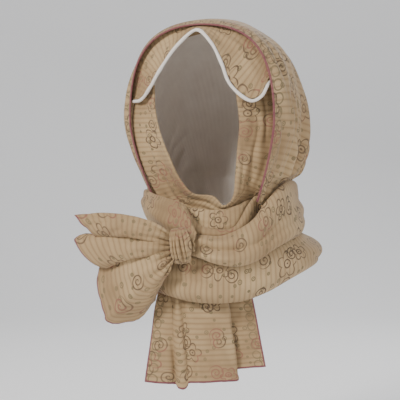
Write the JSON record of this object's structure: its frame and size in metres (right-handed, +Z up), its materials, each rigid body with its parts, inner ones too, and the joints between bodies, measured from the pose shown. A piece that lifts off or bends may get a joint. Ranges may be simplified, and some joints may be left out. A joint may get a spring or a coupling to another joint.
{
  "type": "rain head scarf worn as a hood",
  "caption": "Knitted rain head scarf worn as a hood, wrapped round the neck, crossed over and tied at one side with two loose pleated ends.",
  "frame": {"origin": "inside of the hood's top, where it sits on the crown of the head", "axes": "+Z up, -Y out of the wearer's chest, +X to the wearer's left; the head and hood are turned 20 degrees towards the wearer's right"},
  "size_m": [0.3274, 0.2531, 0.4829],
  "materials": {
    "printed_knit": "matt",
    "pale_lining": "satin"
  },
  "bodies": {
    "root": {"hood": "printed_knit", "brow_fold": "printed_knit", "brow_hem": "pale_lining", "face_band": "printed_knit", "inner_collar": "printed_knit", "cowl_fold": "printed_knit", "upper_wrap": "printed_knit", "lower_wrap": "printed_knit", "cross_fold": "printed_knit", "knot": "printed_knit", "side_tail": "printed_knit", "front_tail": "printed_knit"}
  },
  "joints": []
}
